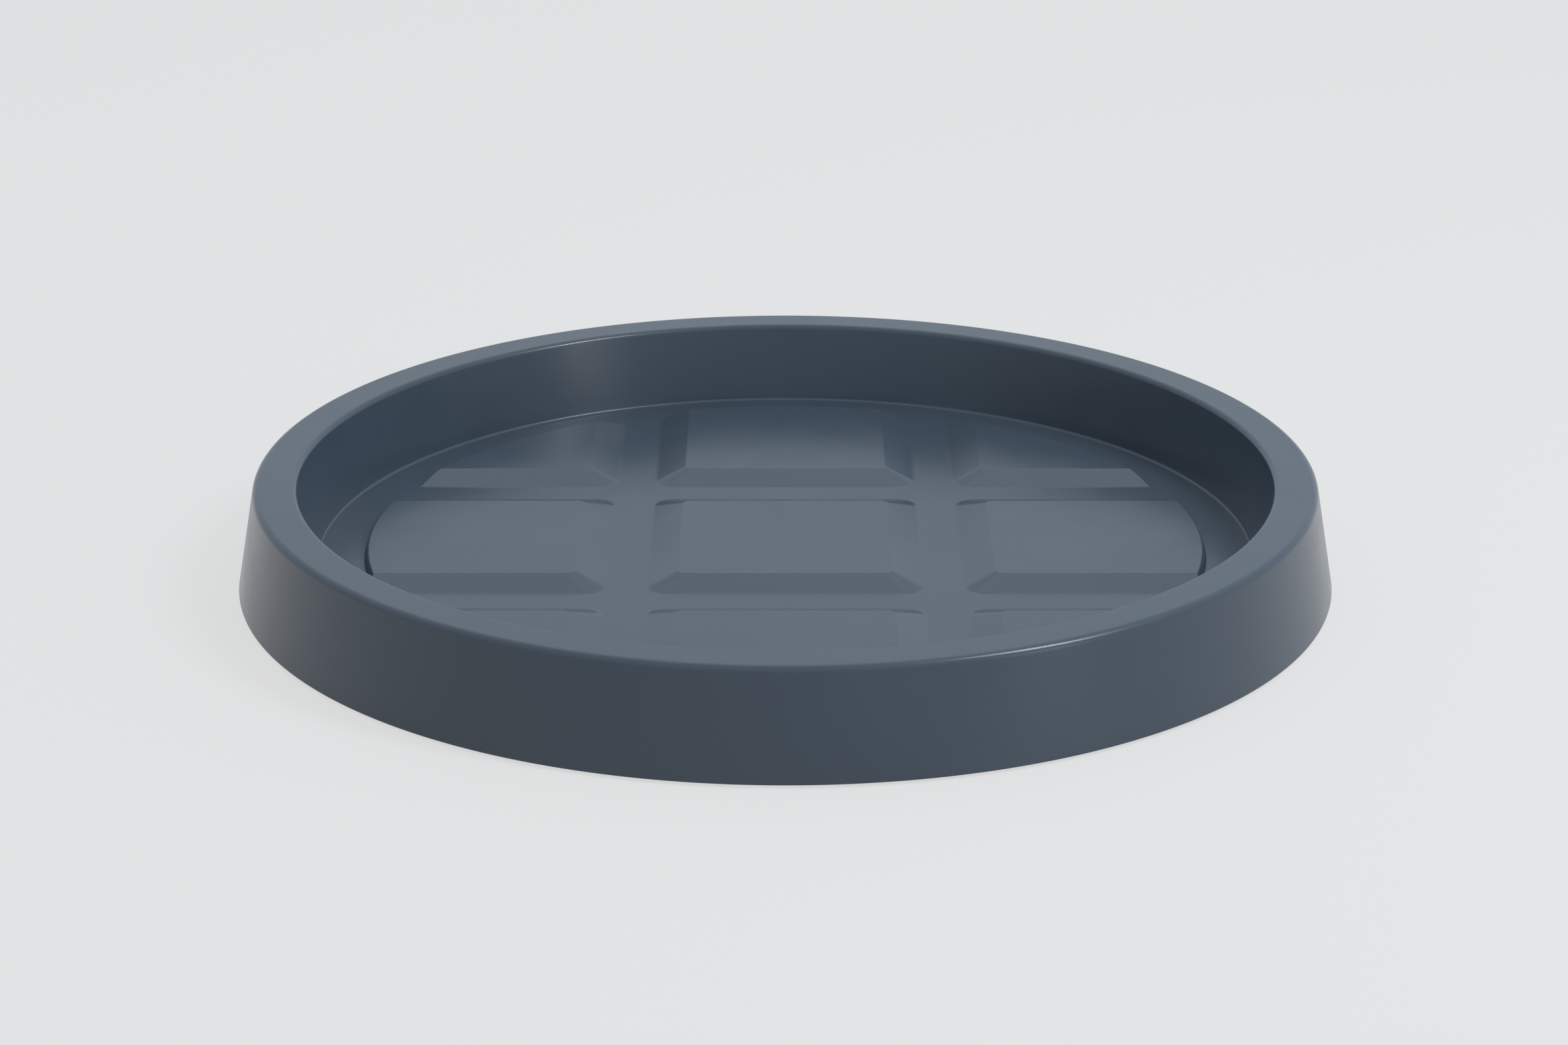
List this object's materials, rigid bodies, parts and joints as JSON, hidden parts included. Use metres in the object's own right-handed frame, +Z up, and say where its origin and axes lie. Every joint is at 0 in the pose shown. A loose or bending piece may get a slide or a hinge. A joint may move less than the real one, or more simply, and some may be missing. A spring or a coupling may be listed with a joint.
{
  "type": "plant saucer",
  "caption": "Round shallow plant saucer with a flat rim, a water trough and raised square pads that hold a pot clear of drained water, standing on rubber feet.",
  "frame": {"origin": "on the ground, on the saucer's axis, under its centre foot", "axes": "+Z up along the saucer's axis, X and Y along the straight channels between the pads"},
  "size_m": [0.3998, 0.3998, 0.0394],
  "materials": {
    "slate_plastic": "smooth injection-moulded polypropylene, slate blue-grey, semi-matte",
    "black_rubber": "moulded black rubber, matte"
  },
  "bodies": {
    "root": {"saucer_body": "slate_plastic", "foot_centre": "black_rubber", "foot_front": "black_rubber", "foot_back": "black_rubber", "foot_left": "black_rubber", "foot_right": "black_rubber", "foot_front_left": "black_rubber", "foot_front_right": "black_rubber", "foot_back_left": "black_rubber", "foot_back_right": "black_rubber"}
  },
  "joints": []
}
